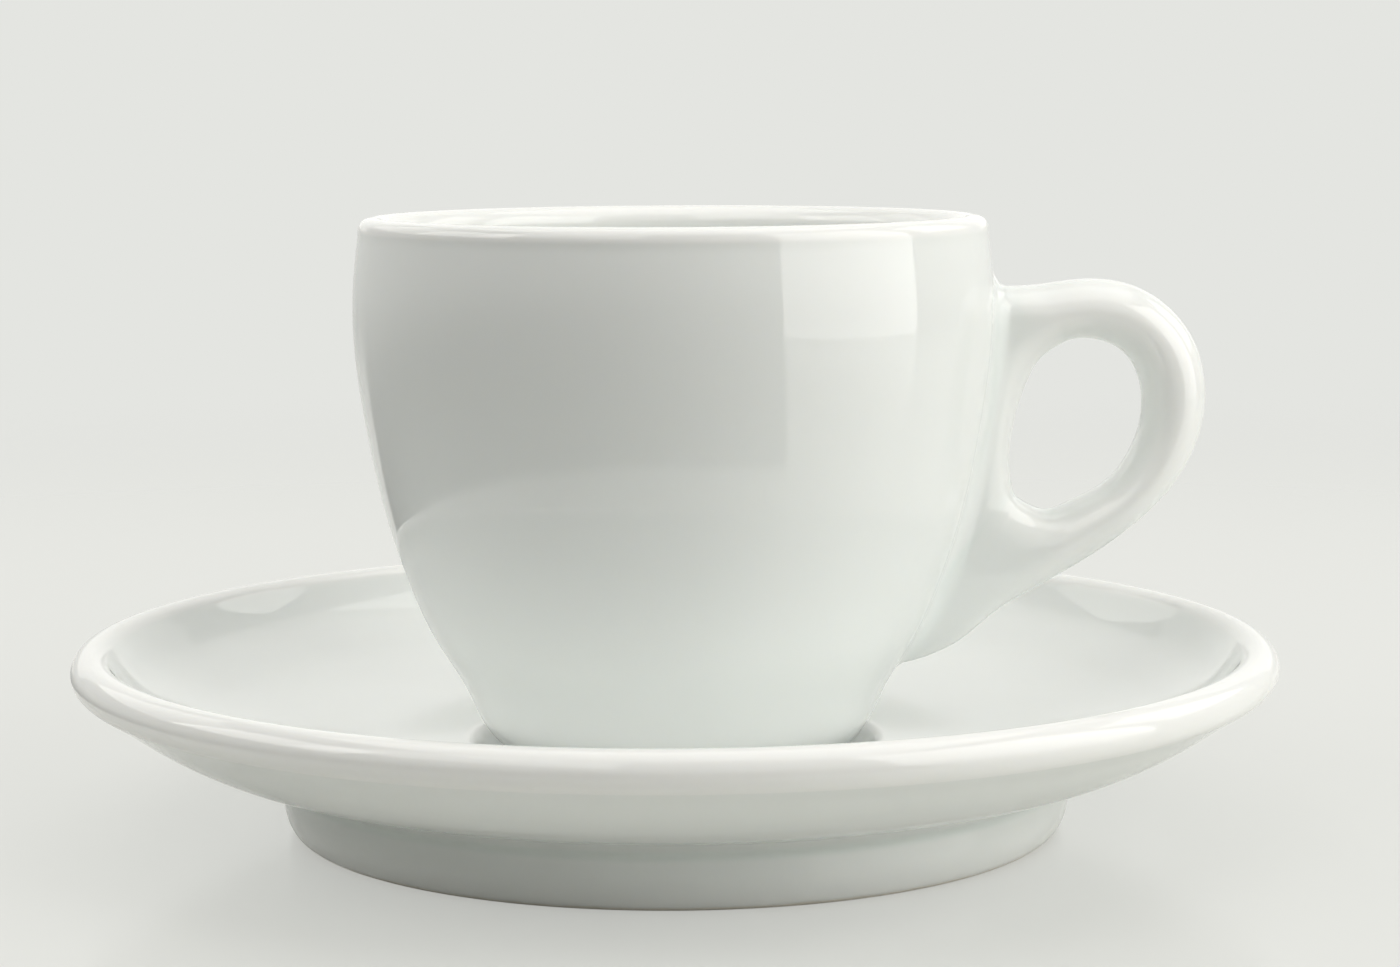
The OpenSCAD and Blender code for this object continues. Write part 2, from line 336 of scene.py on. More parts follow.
@dataclass(frozen=True)
class PorcelainGlaze:
    """White porcelain under a clear gloss glaze, which pools in hollows and thins out over edges.

    Waves are counted in a metre, and what is laid on or wiped off is in metres.
    """

    name: str
    body: Colour = colour_from_screen(240, 243, 241)
    pooled: Colour = colour_from_screen(234, 240, 237)
    thinned: Colour = colour_from_screen(245, 246, 244)
    bare: Colour = colour_from_screen(226, 221, 210)
    pooled_span: Span = (0.05, 0.9)
    thinned_span: Span = (-0.8, -0.05)
    cloud_waves: float = 55
    cloud_tint: float = 0.25
    gloss_roughness: float = 0.04
    cloud_roughness: float = 0.015
    mottle_waves: float = 900
    mottle_roughness: float = 0.008
    glaze_ior: float = 1.6
    light_share: float = 0.12
    depth_of_light: float = 1.6 * MM
    depth_by_colour: Colour = (1.0, 0.9, 0.75)
    bare_roughness: float = 0.72
    grain_waves: float = 5200
    grain_span: Span = (0.62, 0.75)
    grain_tint: float = 0.35
    grain_rise: float = 0.02
    wiped_height: float = 0.42 * MM
    wiped_edge: float = 0.12 * MM
    wiped_wobble: float = 0.5 * MM
    wobble_waves: float = 260
    slow_waves: float = 70
    slow_rise: float = 0.02
    fine_waves: float = 420
    fine_rise: float = 0.0012
    foot_height: float = 0.0
    foot_inner: float = 0.0

    def make(self) -> bpy.types.Material:
        """Builds the material.

        Returns:
            The material.
        """
        material = bpy.data.materials.new(self.name)
        material.use_nodes = True
        sheet = NodeSheet(material.node_tree)
        place = sheet.node("ShaderNodeTexCoord").outputs["Object"]
        bare = self._bare_share(sheet, place)
        cloud = sheet.noise(place, self.cloud_waves)
        bends = sheet.node("ShaderNodeAttribute", {"attribute_name": "glaze_pool"})
        pool = Value(sheet, bends.outputs["Fac"])
        pooling = pool.step(*self.pooled_span) + (cloud - 0.5) * self.cloud_tint
        colour = sheet.tint(pooling, self.body, self.pooled)
        colour = sheet.tint(1 - pool.step(*self.thinned_span), colour, self.thinned)
        grain = sheet.noise(place, self.grain_waves, 3)
        grit = sheet.tint(grain.step(*self.grain_span) * self.grain_tint, self.bare, self.pooled)
        colour = sheet.tint(bare, colour, grit)
        mottle = sheet.noise(place, self.mottle_waves)
        gloss = self.gloss_roughness + cloud * self.cloud_roughness + mottle * self.mottle_roughness
        rough = gloss + bare * (self.bare_roughness - gloss)
        bsdf = sheet.node(
            "ShaderNodeBsdfPrincipled",
            {"subsurface_method": "RANDOM_WALK"},
            {
                "Base Color": colour,
                "Roughness": rough,
                "IOR": self.glaze_ior,
                "Subsurface Weight": self.light_share,
                "Subsurface Radius": self.depth_by_colour,
                "Subsurface Scale": self.depth_of_light,
                "Normal": self._waves(sheet, place, bare, grain),
            },
        )
        sheet.node("ShaderNodeOutputMaterial", {}, {"Surface": bsdf.outputs[0]})
        return material

    def _bare_share(self, sheet: NodeSheet, place: bpy.types.NodeSocket) -> Value:
        """Where the foot was wiped clean of glaze before firing.

        Args:
            sheet: The material's nodes.
            place: The coordinates.

        Returns:
            1 on the bare ring, 0 on the glaze.
        """
        axes = sheet.node("ShaderNodeSeparateXYZ", {}, {0: place})
        flat = sheet.node("ShaderNodeCombineXYZ", {}, {0: axes.outputs[0], 1: axes.outputs[1]})
        length = sheet.node("ShaderNodeVectorMath", {"operation": "LENGTH"}, {0: flat.outputs[0]})
        radius = Value(sheet, length.outputs["Value"])
        height = Value(sheet, axes.outputs[2])
        wobble = (sheet.noise(place, self.wobble_waves) - 0.5) * self.wiped_wobble
        edge = self.wiped_edge
        top = self.foot_height + self.wiped_height
        low = 1 - (height + wobble).step(top - edge, top + edge)
        inner = (radius + wobble).step(self.foot_inner - edge, self.foot_inner + edge)
        return low * inner

    def _waves(
        self, sheet: NodeSheet, place: bpy.types.NodeSocket, bare: Value, grain: Value
    ) -> bpy.types.NodeSocket:
        """The glaze's faint waves, and the bare ring's grain.

        Args:
            sheet: The material's nodes.
            place: The coordinates.
            bare: 1 on the bare ring.
            grain: The grain of the bare ring.

        Returns:
            The normal.
        """
        slow = sheet.noise(place, self.slow_waves, 1)
        fine = sheet.noise(place, self.fine_waves, 1)
        glazed = (slow * self.slow_rise + fine * self.fine_rise) * (1 - bare)
        height = glazed + grain * bare * self.grain_rise
        sockets = {"Strength": 1.0, "Distance": MM, "Height": height}
        return sheet.node("ShaderNodeBump", {}, sockets).outputs["Normal"]


class TurnedPiece:
    """A piece turned on the wheel: an outline in radius and height, spun once round the axis."""

    turns: int = 256

    def outline(self) -> np.ndarray:
        """The outline, in millimetres, from the axis to the axis."""
        raise NotImplementedError

    def build(self, name: str) -> bpy.types.Object:
        """Turns the outline into a closed piece, ring by ring, the same in every run.

        Args:
            name: The piece's name.

        Returns:
            The object.
        """
        bm = bmesh.new()
        turns = np.linspace(0, math.tau, self.turns, endpoint=False)
        ways = [Vector((math.cos(turn), math.sin(turn), 0)) for turn in turns]
        rings = []
        for radius, height in self.outline():
            middle = Vector((0, 0, height * MM))
            if radius < CLOSEST:
                rings.append([bm.verts.new(middle)] * self.turns)
            else:
                rings.append([bm.verts.new(middle + way * (radius * MM)) for way in ways])
        for low, high in zip(rings, rings[1:]):
            for i in range(self.turns):
                corners = dict.fromkeys((low[i - 1], low[i], high[i], high[i - 1]))
                bm.faces.new(list(corners))
        bmesh.ops.recalc_face_normals(bm, faces=bm.faces[:])
        return finished(bm, name)


def finished(bm: bmesh.types.BMesh, name: str) -> bpy.types.Object:
    """Turns a bmesh into a smooth object that knows where its glaze pools.

    Args:
        bm: The mesh.
        name: The object's name.

    Returns:
        The object.
    """
    for face in bm.faces:
        face.smooth = True
    mesh = bpy.data.meshes.new(name)
    bm.to_mesh(mesh)
    bm.free()
    mark_pools(mesh)
    piece = bpy.data.objects.new(name, mesh)
    bpy.context.scene.collection.objects.link(piece)
    return piece


def mark_pools(mesh: bpy.types.Mesh, full_bend: float = 0.55 / MM, rounds: int = 6) -> None:
    """Stores how hollow the surface is at each point: 1 in a tight hollow, -1 on a tight edge.

    Args:
        mesh: The mesh.
        full_bend: The bend at which the value is full, as 1 over its radius.
        rounds: How often the values are averaged with their neighbours'.
    """
    count = len(mesh.vertices)
    places, normals = np.empty(count * 3), np.empty(count * 3)
    ends = np.empty(len(mesh.edges) * 2, int)
    mesh.vertices.foreach_get("co", places)
    mesh.vertices.foreach_get("normal", normals)
    mesh.edges.foreach_get("vertices", ends)
    first, second = ends.reshape(-1, 2).T
    here, there = np.concatenate([first, second]), np.concatenate([second, first])
    chords = places.reshape(-1, 3)[there] - places.reshape(-1, 3)[here]
    bends = 2 * (chords * normals.reshape(-1, 3)[here]).sum(1) / (chords**2).sum(1)
    hollow, edge = np.zeros(count), np.zeros(count)
    np.maximum.at(hollow, here, bends)
    np.minimum.at(edge, here, bends)
    level = np.clip(np.where(hollow > -edge, hollow, edge) / full_bend, -1, 1)
    near = np.bincount(here, minlength=count)
    for _ in range(rounds):
        level = (level + np.bincount(here, level[there], count)) / (1 + near)
    mesh.attributes.new("glaze_pool", "FLOAT", "POINT").data.foreach_set("value", level)


@dataclass
class Saucer(TurnedPiece):
    """The saucer: a dish with a rolled rim, a well for the cup and a foot ring.

    Lengths are in millimetres, and turns in degrees. Shares lie between two corners of a curve.
    """

    radius: float
    height: float
    roll_radius: float = 2.0
    wall: float = 3.5
    foot_radius: float = 39.5
    foot_face: float = 2.4
    foot_edge: float = 2.0
    foot_round: float = 3.6
    foot_top: float = 6.6
    cove: float = 1.6
    hollow: float = 3.0
    well_floor: float = 3.2
    well_radius: float = 18.5
    well_depth: float = 2.4
    well_side: float = 1.6
    well_edge: float = 1.0
    hollow_shares: tuple[Point, ...] = ((1.0, 0.0), (0.99, 0.55), (0.965, 0.9), (0.93, 1.0))
    under_shares: tuple[Point, ...] = (
        (0.077, 0.023), (0.205, 0.092), (0.385, 0.205),
        (0.564, 0.377), (0.744, 0.614), (0.897, 0.854),
    )
    land_rise_shares: tuple[Point, ...] = ((0.257, 0.065), (0.572, 0.326), (0.82, 0.652))
    under_leaves: float = -60.0
    dish_leaves: float = 145.0
    roll_steps: int = 56
    dish_steps: int = 72
    under_steps: int = 64
    side_steps: int = 8
    edge_steps: int = 20
    face_steps: int = 6
    hollow_steps: int = 16
    floor_steps: int = 14
    cove_steps: int = 12
    well_steps: int = 10

    @property
    def well_height(self) -> float:
        """Height of the well's floor, where the cup stands."""
        return self.hollow + self.well_floor

    @property
    def face_outer(self) -> float:
        """Outer radius of the flat face that the saucer stands on."""
        return self.foot_radius - self.foot_edge

    @property
    def face_inner(self) -> float:
        """Inner radius of the flat face that the saucer stands on."""
        return self.face_outer - self.foot_face

    def outline(self) -> np.ndarray:
        """The outline, in millimetres, from the axis to the axis."""
        roll_centre = (self.radius - self.roll_radius, self.height - self.roll_radius)
        leaves = self.under_leaves, self.dish_leaves
        roll = arc(roll_centre, self.roll_radius, *leaves, self.roll_steps)
        foot_corner = (self.foot_radius, self.foot_top)
        under = between(foot_corner, tuple(roll[0]), self.under_shares)
        over = [(r, z + self.wall) for r, z in under[1:-1]]
        land_z = self.well_height + self.well_depth
        land_start = (self.well_radius + self.well_side + self.well_edge, land_z)
        land = between(land_start, over[0], self.land_rise_shares)
        turn = math.radians(self.dish_leaves)
        up_the_rim = (math.sin(turn), -math.cos(turn))
        rise = [land_start, *land, *over, tuple(roll[-1])]
        dish = SmoothLine(rise, end_way=up_the_rim).spaced(self.dish_steps)
        cove_start = (self.foot_radius, self.foot_top - self.cove)
        foot_side = [(self.foot_radius, self.foot_round), cove_start]
        quarter = arc((0, 1), 1, -90, 0, self.edge_steps)
        edge = quarter * (self.foot_edge, self.foot_round) + (self.face_outer, 0)
        hollow_line = [(self.face_inner * a, self.hollow * b) for a, b in self.hollow_shares]
        hollow_side = SmoothLine(hollow_line).spaced(self.hollow_steps)
        return np.vstack([
            self._disc(self.hollow, hollow_line[-1][0])[:-1],
            hollow_side[::-1],
            np.linspace((self.face_inner, 0), (self.face_outer, 0), self.face_steps)[1:-1],
            edge,
            np.linspace(*foot_side, self.side_steps)[1:-1],
            self._cove(cove_start, under[0]),
            SmoothLine([*under, tuple(roll[0])]).spaced(self.under_steps)[1:-1],
            roll,
            dish[::-1][1:-1],
            self._well_side(land_start),
            self._disc(self.well_height, self.well_radius)[::-1][1:],
        ])

    def _disc(self, height: float, radius: float) -> np.ndarray:
        """Places along a flat floor, from the axis out."""
        return np.linspace((0, height), (radius, height), self.floor_steps)

    def _cove(self, start: Point, end: Point) -> np.ndarray:
        """The sloping band from the foot ring's side to the underside, which it meets crisply.

        Args:
            start: Where the band leaves the foot's side.
            end: Where it meets the underside.

        Returns:
            The places from the side to the underside.
        """
        half = (end[0] - start[0]) / 2
        up, back = (start[0], start[1] + half), (end[0] - half, end[1] - half)
        return bend(start, up, back, end, self.cove_steps)

    def _well_side(self, land_start: Point) -> np.ndarray:
        """The well's rounded edge and sloping side, from the land down to the floor.

        Args:
            land_start: Where the land starts, outside the edge.

        Returns:
            The places.
        """
        land_z = land_start[1]
        edge, side = self.well_edge, self.well_side
        top = (self.well_radius + side, land_z - edge / 2)
        floor = (self.well_radius, self.well_height)
        off_land = (land_start[0] - edge / 2, land_z)
        over_top = (top[0] + edge / 4, top[1] + edge / 4)
        over = bend(land_start, off_land, over_top, top, self.well_steps)
        off_top = (top[0] - side / 2, top[1] - self.well_depth / 2)
        down = bend(top, off_top, (floor[0] + side / 4, floor[1]), floor, self.well_steps)
        return np.vstack([over, down[1:]])


def bend(a: Point, b: Point, c: Point, d: Point, count: int) -> np.ndarray:
    """A cubic curve from a to d that starts towards b and arrives from c.

    Args:
        a: The start.
        b: The place that it starts towards.
        c: The place that it arrives from.
        d: The end.
        count: How many places, the two ends included.

    Returns:
        One row per place.
    """
    late = np.linspace(0, 1, count)[:, None]
    early = 1 - late
    corners = [np.array(p, float) for p in (a, b, c, d)]
    return (early**3 * corners[0] + 3 * early**2 * late * corners[1]
            + 3 * early * late**2 * corners[2] + late**3 * corners[3])


@dataclass
class CupBody(TurnedPiece):
    """The cup without its handle, with its outline in heights above its own foot.

    Lengths are in millimetres. Shares are of the belly's radius and of the height.
    """

    belly_radius: float
    height: float
    stands_at: float
    mouth_radius: float = 31.25
    lip: float = 1.8
    lip_square: float = 0.7
    base_wall: float = 7.0
    bowl_floor: float = 8.0
    bowl_drop: float = 0.72
    bowl_flat: float = 0.55
    foot_radius: float = 15.7
    foot_face: float = 2.2
    foot_height: float = 1.1
    foot_edge: float = 0.5
    hollow: float = 1.6
    corner_shares: tuple[Point, ...] = ((0.547, 0.0365), (0.602, 0.0693))
    side_shares: tuple[Point, ...] = (
        (0.665, 0.1423), (0.7594, 0.2336), (0.8428, 0.3431), (0.9119, 0.4708),
        (0.9638, 0.6168), (0.9943, 0.7445), (1.0, 0.8613),
    )
    lip_steps: int = 40
    bowl_steps: int = 72
    floor_steps: int = 40
    hollow_steps: int = 10
    face_steps: int = 5
    edge_steps: int = 8

    def _stations(self, shares: Sequence[Point]) -> list[Point]:
        """Stations of the outer side."""
        return between((0, 0), (self.belly_radius, self.height), shares)

    def side(self, count: int = 96) -> np.ndarray:
        """The outer side, from the foot ring's top up to the lip.

        Args:
            count: How many places.

        Returns:
            The places, in radius and height above the foot.
        """
        foot_top = (self.foot_radius, self.foot_height)
        top = (self.mouth_radius, self.height - self.lip)
        rise = self._stations(self.corner_shares + self.side_shares)
        return SmoothLine([foot_top, *rise, top]).spaced(count)

    def _bowl(self) -> np.ndarray:
        """The bowl, from the lip's inside down to the axis."""
        lip_base = self.height - self.lip
        inner = [(r - self.base_wall - (2 * self.lip - self.base_wall) * z / lip_base, z)
                 for r, z in self._stations(self.side_shares[1:])]
        inner.append((self.mouth_radius - 2 * self.lip, lip_base))
        side = SmoothLine(inner).spaced(self.bowl_steps)
        foot = side[0]
        slope = (side[1] - foot) / (side[1][1] - foot[1])
        drop = foot[1] - self.bowl_floor
        down = tuple(foot - slope * drop * self.bowl_drop)
        flat = (foot[0] * self.bowl_flat, self.bowl_floor)
        floor = bend(tuple(foot), down, flat, (0, self.bowl_floor), self.floor_steps)
        return np.vstack([side[::-1], floor[1:]])

    def outline(self) -> np.ndarray:
        """The outline, in millimetres, from the axis to the axis."""
        face_outer = self.foot_radius - self.foot_edge
        face_inner = face_outer - self.foot_face
        hollow_end = (face_inner - self.hollow / 2, self.hollow)
        lip_centre = (self.mouth_radius - self.lip, self.height - self.lip)
        turn = arc((0, 0), 1, 0, 180, self.lip_steps)[1:-1]
        square = np.where(turn[:, :1] > 0, self.lip_square, 1.0)
        lip = lip_centre + self.lip * np.sign(turn) * np.abs(turn) ** square
        line = np.vstack([
            np.linspace((0, self.hollow), hollow_end, self.hollow_steps),
            np.linspace(hollow_end, (face_inner, 0), self.face_steps)[1:-1],
            np.linspace((face_inner, 0), (face_outer, 0), self.face_steps),
            arc((face_outer, self.foot_edge), self.foot_edge, -90, 0, self.edge_steps)[1:],
            self.side(),
            lip,
            self._bowl(),
        ])
        return line + np.array([0, self.stands_at])


@dataclass
class EarHandle:
    """The ear handle: a closed loop round the finger hole, joined to the wall by slip.

    Each row runs from a place on the hole's edge to a place on the rim, and a flattened ring is
    laid round it. Where the rings come near the wall they widen into the slip's hollow round.
    Lengths are in millimetres. Shares lie in the hole's box first and in the rim's box second, and
    a root's last number is its share of the height from the toe to the top.
    """

    cup: CupBody
    reach: float
    top: float
    toe: float = 10.1
    thickness: float = 9.0
    slip: float = 2.3
    top_slip: float = 1.7
    root_depth: float = 3.2
    embed: float = 0.3
    skirt: float = 0.5
    skirt_sink: float = 0.03
    sink_run: float = 0.3
    facing_span: Span = (-0.6, 0.97)
    round_run: float = 6.3
    round_power: float = 0.62
    hole_width: float = 13.4
    hole_height: float = 17.1
    hole_gap: float = 1.6
    hole_foot: float = 25.3
    loop_shares: tuple[tuple[Point, Point], ...] = (
        ((0.366, 0.958), (0.108, 0.982)),
        ((0.530, 1.000), (0.432, 1.000)),
        ((0.776, 0.959), (0.709, 0.969)),
        ((0.955, 0.801), (0.920, 0.861)),
        ((1.000, 0.585), (1.000, 0.715)),
        ((0.933, 0.374), (0.944, 0.547)),
        ((0.758, 0.170), (0.770, 0.406)),
        ((0.530, 0.064), (0.530, 0.296)),
        ((0.351, 0.000), (0.267, 0.209)),
        ((0.201, 0.008), (-0.024, 0.114)),
        ((0.090, 0.056), (-0.187, 0.043)),
    )
    root_shares: tuple[tuple[Point, float], ...] = (
        ((0.023, 0.146), 0.0),
        ((0.000, 0.299), 0.22),
        ((0.038, 0.515), 0.49),
        ((0.115, 0.708), 0.76),
        ((0.230, 0.882), 0.965),
    )
    ring_count: int = 220
    half_ring: int = 44
    slip_steps: int = 900
    wall_steps: int = 400

    def rows(self) -> np.ndarray:
        """The rows, each a hole place and a rim place, as distance from the axis and height.

        Returns:
            One row per station of the loop.
        """
        belly = self.cup.belly_radius
        hole_low = (belly + self.hole_gap, self.hole_foot)
        hole_high = (hole_low[0] + self.hole_width, hole_low[1] + self.hole_height)
        rim_low, rim_high = (belly, self.toe), (self.reach, self.top)
        hole_shares = [hole for hole, _ in self.loop_shares + self.root_shares]
        holes = between(hole_low, hole_high, hole_shares)
        rims = between(rim_low, rim_high, [rim for _, rim in self.loop_shares])
        for _, end in self.root_shares:
            end_z = self.toe + (self.top - self.toe) * end
            rims.append((self.wall_radius(np.array([end_z]))[0] - self.root_depth, end_z))
        return np.array([[*hole, *rim] for hole, rim in zip(holes, rims)])

    def wall_radius(self, height: np.ndarray) -> np.ndarray:
        """The radius of the cup's outer side at heights above its foot."""
        side = self.cup.side(self.wall_steps)
        return np.interp(height, side[:, 1], side[:, 0])

    def wall_normal(self, places: np.ndarray) -> tuple[np.ndarray, np.ndarray]:
        """How far places lie from the wall, and the wall's normals there.

        Args:
            places: The places, with X, Y and height above the foot last.

        Returns:
            The distances, and the normals.
        """
        side = self.cup.side(self.wall_steps)
        slope = np.gradient(side[:, 0], side[:, 1])
        radius = np.maximum(np.hypot(places[..., 0], places[..., 1]), CLOSEST)
        lean = np.interp(places[..., 2], side[:, 1], slope)
        steep = np.sqrt(1 + lean**2)
        clear = (radius - np.interp(places[..., 2], side[:, 1], side[:, 0])) / steep
        out = np.stack([places[..., 0] / radius, places[..., 1] / radius, -lean], -1)
        return clear, out / steep[..., None]

    def raw_rings(self, across: int) -> np.ndarray:
        """The half rings before the slip is laid on.

        Args:
            across: How many places a half ring has, from the hole to the rim.

        Returns:
            The places, by ring and by place on the ring.
        """
        rows = SmoothLine(self.rows(), closed=True)
        lines = rows.spaced(self.ring_count + 1)[:-1]
        hole, rim = lines[:, None, :2], lines[:, None, 2:]
        run = np.linalg.norm(rim - hole, axis=2)
        power = 2 * np.clip(run / self.round_run, 1, 3) ** self.round_power
        turn = np.linspace(0, math.pi, across)[None, :]
        width = np.cos(turn)
        share = (1 - np.sign(width) * np.abs(width) ** (2 / power)) / 2
        half = self.thickness / 2 * np.abs(np.sin(turn)) ** (2 / power)
        flat = hole + (rim - hole) * share[..., None]
        return np.stack([flat[..., 0], -half, flat[..., 1]], -1)

    def slipped(self, places: np.ndarray) -> np.ndarray:
        """Lays the slip on: near the wall the surface turns along a hollow round until it meets it.

        Args:
            places: The half rings.

        Returns:
            The half rings with their slip, sunk a little into the wall where they run inside it.
        """
        along = np.roll(places, -1, 0) - np.roll(places, 1, 0)
        across = np.gradient(places, axis=1)
        normal = np.cross(across, along)
        normal /= np.maximum(np.linalg.norm(normal, axis=2, keepdims=True), TINY)
        normal = self._outward(normal, places)
        clear, out = self.wall_normal(places)
        facing = np.clip((normal * out).sum(2), *self.facing_span)
        slip = self.top_slip + (self.slip - self.top_slip) * normal[..., 1] ** 2
        offset = slip - clear - facing * slip
        spread = np.clip(offset / np.sqrt(1 - facing**2), 0, slip)
        lift = slip - np.sqrt(slip**2 - spread**2)
        end_lift = slip * (1 - facing)
        depth = np.maximum(-facing * end_lift - clear, 0)
        lift = np.where(depth > 0, end_lift + np.minimum(depth, self.skirt), lift)
        lift = np.where(offset <= 0, 0, lift)
        moved = places + normal * lift[..., None]
        new_clear, new_out = self.wall_normal(moved)
        sink = -self.skirt_sink * np.minimum(depth / self.skirt, 1)
        sink -= (self.embed - self.skirt_sink) * np.clip((depth - self.skirt) / self.sink_run, 0, 1)
        sunk = moved + new_out * (sink - new_clear)[..., None]
        return np.where((depth > 0)[..., None], sunk, moved)

    @staticmethod
    def _outward(normal: np.ndarray, places: np.ndarray) -> np.ndarray:
        """Turns the normals of the near half rings outwards."""
        middle = places.shape[1] // 2
        turned = np.sign(-normal[:, middle, 1])[:, None, None]
        normal = normal * turned
        normal[:, [0, -1], 1] = 0
        length = np.linalg.norm(normal, axis=2, keepdims=True)
        return normal / np.maximum(length, TINY)

    def rings(self) -> np.ndarray:
        """The finished whole rings, with evenly spread places.

        Returns:
            The places, in millimetres above the foot, by ring and by place on the ring.
        """
        dense = self.slipped(self.raw_rings(self.slip_steps))
        dense[:, [0, -1], 1] = 0
        steps = np.linalg.norm(np.diff(dense, axis=1), axis=2)
        reach = np.concatenate([np.zeros((len(dense), 1)), np.cumsum(steps, axis=1)], axis=1)
        halves = []
        for line, far in zip(dense, reach):
            wanted = np.linspace(0, far[-1], self.half_ring)
            halves.append(np.column_stack([np.interp(wanted, far, line[:, k]) for k in range(3)]))
        near = np.array(halves)
        back = near[:, -2:0:-1] * np.array([1, -1, 1])
        return np.concatenate([near, back], axis=1)

    def build(self, name: str) -> bpy.types.Object:
        """Lofts the rings into one closed loop.

        Args:
            name: The piece's name.

        Returns:
            The object.
        """
        bm = bmesh.new()
        loops = []
        for ring in self.rings():
            lifted = ring + np.array([0, 0, self.cup.stands_at])
            corners = [bm.verts.new(Vector(place) * MM) for place in lifted]
            loops.append([bm.edges.new(pair) for pair in zip(corners, corners[1:] + corners[:1])])
        for here, there in zip(loops, loops[1:] + loops[:1]):
            bmesh.ops.bridge_loops(bm, edges=here + there)
        bmesh.ops.recalc_face_normals(bm, faces=bm.faces[:])
        return finished(bm, name)


class Stand(Enum):
    """How a panel of light is held."""

    UPRIGHT = "upright"
    OVERHEAD = "overhead"


@dataclass(frozen=True)
class SoftPanel:
    """An evenly glowing panel of light that faces the cup, with its lengths in metres.

    An upright panel's spread is the angle from its middle to its side, as seen from the cup, in
    degrees. An overhead one is square, hangs at its high end, and its spread is its side.
    """

    name: str
    stand: Stand
    azimuth: float
    distance: float
    low: float
    high: float
    spread: float
    glow: float
    colour: Colour = (1.0, 0.985, 0.95)

    @property
    def width(self) -> float:
        """How wide the panel is."""
        if self.stand is Stand.OVERHEAD:
            return self.spread
        return 2 * self.distance * math.tan(math.radians(self.spread))

    @property
    def height(self) -> float:
        """How tall an upright panel is, or how deep an overhead one."""
        return self.spread if self.stand is Stand.OVERHEAD else self.high - self.low

    def hang(self) -> None:
        """Adds the panel to the scene."""
        data = bpy.data.lights.new(self.name, "AREA")
        data.shape = "RECTANGLE"
        data.size, data.size_y = self.width, self.height
        data.energy = self.glow * math.pi * self.width * self.height
        data.color = self.colour
        panel = bpy.data.objects.new(self.name, data)
        turn = math.radians(self.azimuth)
        foot = Vector((math.sin(turn), -math.cos(turn), 0)) * self.distance
        if self.stand is Stand.UPRIGHT:
            centre, aim = foot + Vector((0, 0, (self.low + self.high) / 2)), -foot
        else:
            centre, aim = foot + Vector((0, 0, self.high)), Vector((0, 0, -1))
        facing = aim.to_track_quat("-Z", "Y").to_matrix().to_4x4()
        panel.matrix_world = Matrix.Translation(centre) @ facing
        panel.visible_camera = False
        bpy.context.scene.collection.objects.link(panel)


